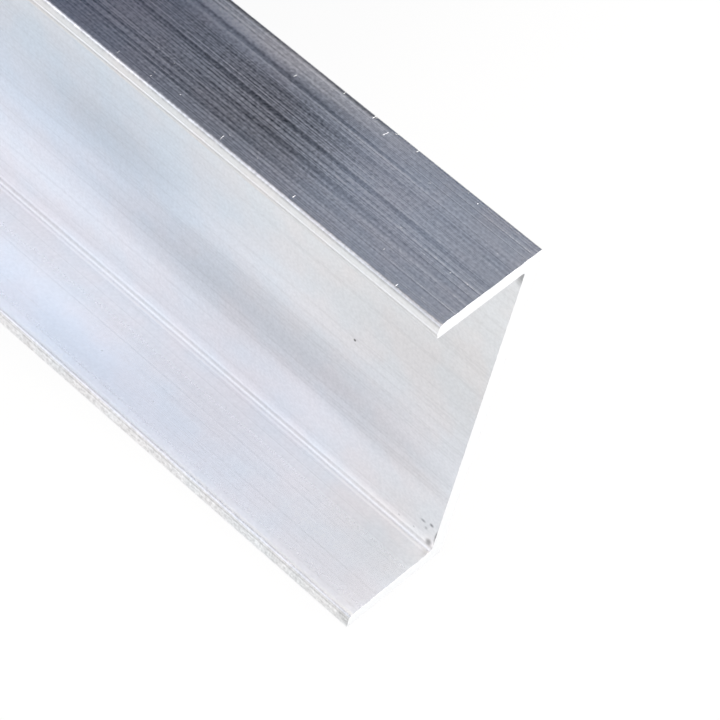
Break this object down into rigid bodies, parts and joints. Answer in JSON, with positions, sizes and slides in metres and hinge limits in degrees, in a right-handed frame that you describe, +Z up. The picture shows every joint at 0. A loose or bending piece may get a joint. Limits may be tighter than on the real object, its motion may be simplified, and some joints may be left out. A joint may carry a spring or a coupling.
{
  "type": "aluminium channel profile",
  "caption": "Plain extruded aluminium channel: a flat web with an equal flange along each edge, sawn square at both ends.",
  "frame": {"origin": "middle of the box's underside: halfway along the stock, halfway across the flanges, on the face it stands on", "axes": "+X along the stock towards the end that the picture shows, +Y from the trough towards the back of the web, +Z up across the web"},
  "size_m": [0.5, 0.015, 0.05],
  "materials": {
    "mill_aluminium": "mill finish as extruded, satin, with fine lengthwise die lines"
  },
  "bodies": {
    "root": {"channel": "mill_aluminium"}
  },
  "joints": []
}
